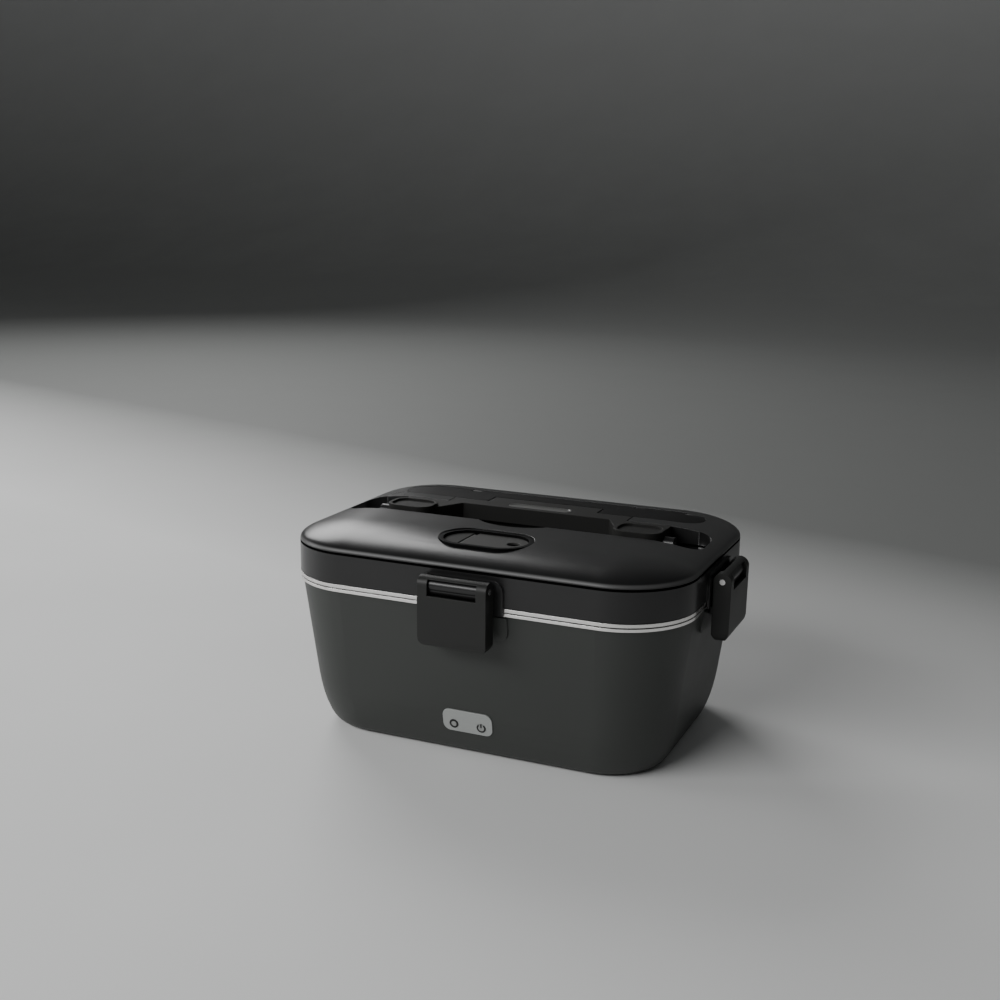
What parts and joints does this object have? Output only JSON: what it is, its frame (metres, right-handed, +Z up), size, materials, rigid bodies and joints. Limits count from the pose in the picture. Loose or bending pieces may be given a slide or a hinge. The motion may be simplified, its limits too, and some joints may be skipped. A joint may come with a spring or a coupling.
{
  "type": "electric lunch box",
  "caption": "Heated lunch box with a swept oblong base, lift-out steel food container, lift-off lid with pinned side latches, folding carry handle, steam vent and cutlery compartment.",
  "frame": {"origin": "centre of the footprint, on the table that the rubber feet stand on", "axes": "+X to the right along the longest side, +Y to the back where the power inlet is, +Z up"},
  "size_m": [0.2548, 0.1898, 0.1201],
  "materials": {
    "body_grey": "fine matte texture",
    "cover_black": "matte",
    "foot_rubber": "matte rubber",
    "screw_steel": "zinc plated",
    "trim_steel": "brushed",
    "liner_plastic": "matte",
    "heater_aluminium": "satin",
    "seal_silicone": "soft matte",
    "heater_ceramic": "matte",
    "spring_steel": "satin",
    "insulation_card": "matte",
    "thermostat_ceramic": "matte",
    "fuse_body": "glazed",
    "plate_silver": "satin silver",
    "lens_red": "clear tinted",
    "lens_smoke": "clear tinted",
    "board_green": "satin",
    "inlet_black": "matte",
    "pin_brass": "bright",
    "lead_red": "satin",
    "lead_blue": "satin",
    "lead_cream": "satin",
    "tub_steel": "brushed",
    "lid_black": "satin black",
    "plate_dark": "matte",
    "gasket_silicone": "soft matte",
    "vent_silicone": "soft matte",
    "pin_steel": "bright",
    "latch_grey": "fine matte texture",
    "handle_grey": "matte",
    "inlay_grey": "satin",
    "flap_black": "satin",
    "cutlery_cover_grey": "matte"
  },
  "bodies": {
    "base": {"base_shell": "body_grey", "bottom_cover": "cover_black", "rubber_feet": "foot_rubber", "cover_screws": "screw_steel", "trim_ring": "trim_steel", "inner_liner": "liner_plastic", "heater_plate": "heater_aluminium", "plate_seal": "seal_silicone", "heating_blocks": "heater_ceramic", "heater_clamp": "spring_steel", "clamp_screws": "screw_steel", "insulation_board": "insulation_card", "thermostat": "thermostat_ceramic", "thermal_fuse": "fuse_body", "indicator_plate": "plate_silver", "lamp_lens": "lens_red", "power_mark_lens": "lens_smoke", "lamp_board": "board_green", "board_screws": "screw_steel", "inlet_housing": "inlet_black", "inlet_pins": "pin_brass", "live_lead": "lead_red", "neutral_lead": "lead_blue", "lamp_leads": "lead_cream"},
    "container": {"food_container": "tub_steel"},
    "lid": {"lid_shell": "lid_black", "lid_inner_plate": "plate_dark", "lid_gasket": "gasket_silicone", "lid_screws": "screw_steel", "vent_seat": "vent_silicone", "front_latch_pin": "pin_steel", "back_latch_pin": "pin_steel", "left_latch_pin": "pin_steel", "right_latch_pin": "pin_steel", "handle_pins": "pin_steel", "cutlery_pins": "pin_steel", "vent_pin": "pin_steel"},
    "front_latch_arm": {"front_latch": "latch_grey"},
    "right_latch_arm": {"right_latch": "latch_grey"},
    "back_latch_arm": {"back_latch": "latch_grey"},
    "left_latch_arm": {"left_latch": "latch_grey"},
    "handle": {"carry_handle": "handle_grey", "handle_inlay": "inlay_grey"},
    "flap": {"vent_flap": "flap_black"},
    "cutlery_door": {"cutlery_cover": "cutlery_cover_grey"}
  },
  "joints": [
    {"name": "container_lift", "type": "slide", "parent": "base", "child": "container", "axis": [0, 0, 1], "range_m": [0, 0.075]},
    {"name": "lid_lift", "type": "slide", "parent": "container", "child": "lid", "axis": [0, 0, 1], "range_m": [0, 0.06]},
    {"name": "front_latch_hinge", "type": "hinge", "parent": "lid", "child": "front_latch_arm", "pos_m": [0, -0.0899, 0.1009], "axis": [-1, 0, 0], "range_deg": [0, 100]},
    {"name": "right_latch_hinge", "type": "hinge", "parent": "lid", "child": "right_latch_arm", "pos_m": [0.1224, 0, 0.1009], "axis": [0, -1, 0], "range_deg": [0, 100]},
    {"name": "back_latch_hinge", "type": "hinge", "parent": "lid", "child": "back_latch_arm", "pos_m": [0, 0.0899, 0.1009], "axis": [1, 0, 0], "range_deg": [0, 100]},
    {"name": "left_latch_hinge", "type": "hinge", "parent": "lid", "child": "left_latch_arm", "pos_m": [-0.1224, 0, 0.1009], "axis": [0, 1, 0], "range_deg": [0, 100]},
    {"name": "handle_hinge", "type": "hinge", "parent": "lid", "child": "handle", "pos_m": [0, -0.0005, 0.1131], "axis": [1, 0, 0], "range_deg": [0, 90]},
    {"name": "vent_flap_hinge", "type": "hinge", "parent": "lid", "child": "flap", "pos_m": [-0.0115, -0.051, 0.1155], "axis": [0, -1, 0], "range_deg": [0, 100]},
    {"name": "cutlery_cover_hinge", "type": "hinge", "parent": "lid", "child": "cutlery_door", "pos_m": [0, 0.0545, 0.1153], "axis": [-1, 0, 0], "range_deg": [0, 90]}
  ]
}
